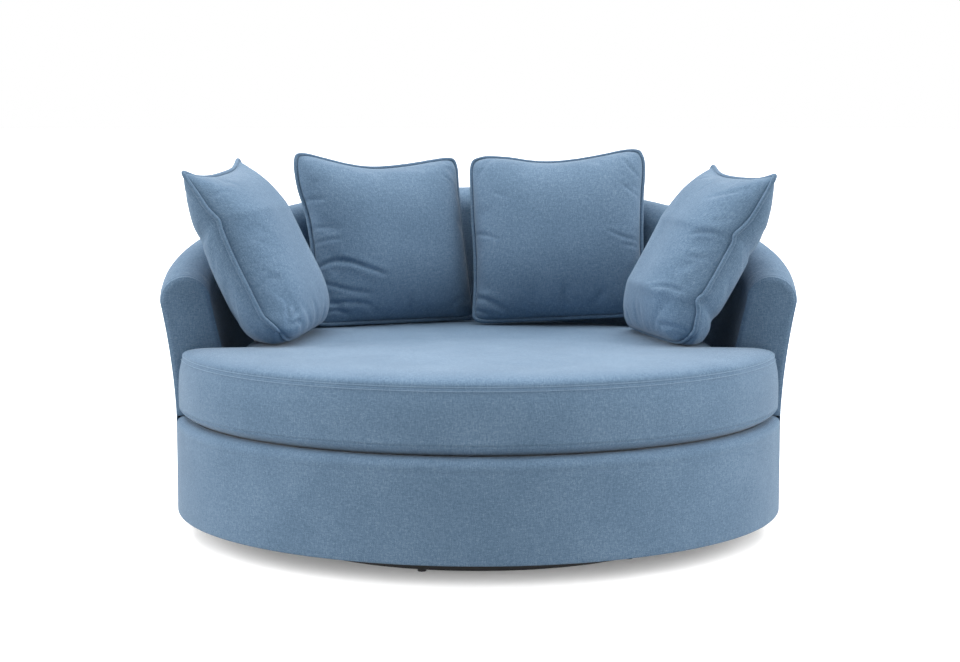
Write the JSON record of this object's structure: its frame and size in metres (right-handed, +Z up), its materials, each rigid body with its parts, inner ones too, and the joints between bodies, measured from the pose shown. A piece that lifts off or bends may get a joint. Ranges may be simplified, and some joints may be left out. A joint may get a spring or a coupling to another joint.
{
  "type": "swivel cuddle chair",
  "caption": "Round swivel love seat with a wrap-round back sloping down to the arms, a loose seat cushion and piped scatter cushions",
  "frame": {"origin": "on the floor, on the swivel axis, under the middle of the drum", "axes": "+X to the right seen from the front, +Y to the back, +Z up; the chair faces -Y"},
  "size_m": [1.572, 1.5148, 0.946],
  "materials": {
    "black_plastic": "moulded",
    "black_steel": "satin black powder coat",
    "blue_weave": "mid-blue woven upholstery cloth",
    "board": "plywood and pine",
    "deck_cloth": "pad under plain cloth",
    "dust_cloth": "black spun cloth",
    "fibre_fill": "hollow fibre in a white liner",
    "fibreboard": "bent hardboard",
    "foam": "polyurethane foam",
    "nylon": "natural nylon",
    "piping_weave": "the same cloth cut on the bias",
    "steel": "zinc plated",
    "webbing": "elastic webbing",
    "zip_tape": "nylon zip tape"
  },
  "bodies": {
    "floor_base": {"base_glides": "black_plastic", "base_ring": "black_steel", "base_arms": "black_steel", "lower_plate": "black_steel"},
    "bearing_cage": {"bearing_rollers": "nylon", "roller_cage": "black_plastic"},
    "chair": {"arm_boards": "board", "arm_facing_left": "blue_weave", "arm_facing_right": "blue_weave", "back_foam": "foam", "back_posts": "board", "back_top_rail": "board", "back_webbing": "webbing", "base_bottom_ring": "board", "base_front_cover": "blue_weave", "base_skirt_panel": "fibreboard", "base_studs": "board", "base_top_ring": "board", "cross_rails": "board", "deck_pad": "deck_cloth", "dust_cover": "dust_cloth", "inside_arm_left_cover": "blue_weave", "inside_arm_right_cover": "blue_weave", "inside_back_cover": "blue_weave", "outside_back_cover": "blue_weave", "pivot_nut": "steel", "post_blocks": "board", "seat_webbing_across": "webbing", "seat_webbing_along": "webbing", "top_plate": "black_steel", "top_plate_screws": "steel"},
    "seat_cushion": {"seat_cushion_cover": "blue_weave", "seat_cushion_foam": "foam", "seat_cushion_zip": "zip_tape"},
    "left_pillow": {"pillow_left_cover": "blue_weave", "pillow_left_fill": "fibre_fill", "pillow_left_piping": "piping_weave", "pillow_left_zip": "zip_tape"},
    "back_left_pillow": {"pillow_back_left_cover": "blue_weave", "pillow_back_left_fill": "fibre_fill", "pillow_back_left_piping": "piping_weave", "pillow_back_left_zip": "zip_tape"},
    "back_right_pillow": {"pillow_back_right_cover": "blue_weave", "pillow_back_right_fill": "fibre_fill", "pillow_back_right_piping": "piping_weave", "pillow_back_right_zip": "zip_tape"},
    "right_pillow": {"pillow_right_cover": "blue_weave", "pillow_right_fill": "fibre_fill", "pillow_right_piping": "piping_weave", "pillow_right_zip": "zip_tape"}
  },
  "joints": [
    {"name": "swivel", "type": "hinge", "parent": "floor_base", "child": "chair", "pos_m": [0, 0, 0.08], "axis": [0, 0, 1], "continuous": true},
    {"name": "cage_turn", "type": "hinge", "parent": "floor_base", "child": "bearing_cage", "pos_m": [0, 0, 0.08], "axis": [0, 0, 1], "continuous": true},
    {"name": "seat_cushion_lift", "type": "slide", "parent": "chair", "child": "seat_cushion", "axis": [0, 0, 1], "range_m": [0, 0.55]},
    {"name": "left_pillow_lift", "type": "slide", "parent": "seat_cushion", "child": "left_pillow", "axis": [-0.101, -0.302, 0.9479], "range_m": [0, 0.45]},
    {"name": "back_left_pillow_lift", "type": "slide", "parent": "seat_cushion", "child": "back_left_pillow", "axis": [-0.045, 0, 0.999], "range_m": [0, 0.45]},
    {"name": "back_right_pillow_lift", "type": "slide", "parent": "seat_cushion", "child": "back_right_pillow", "axis": [0.03, 0, 0.9996], "range_m": [0, 0.45]},
    {"name": "right_pillow_lift", "type": "slide", "parent": "seat_cushion", "child": "right_pillow", "axis": [0.101, -0.302, 0.9479], "range_m": [0, 0.45]}
  ],
  "couplings": [
    {"joint": "cage_turn", "follows": "swivel", "ratio": 0.5}
  ]
}
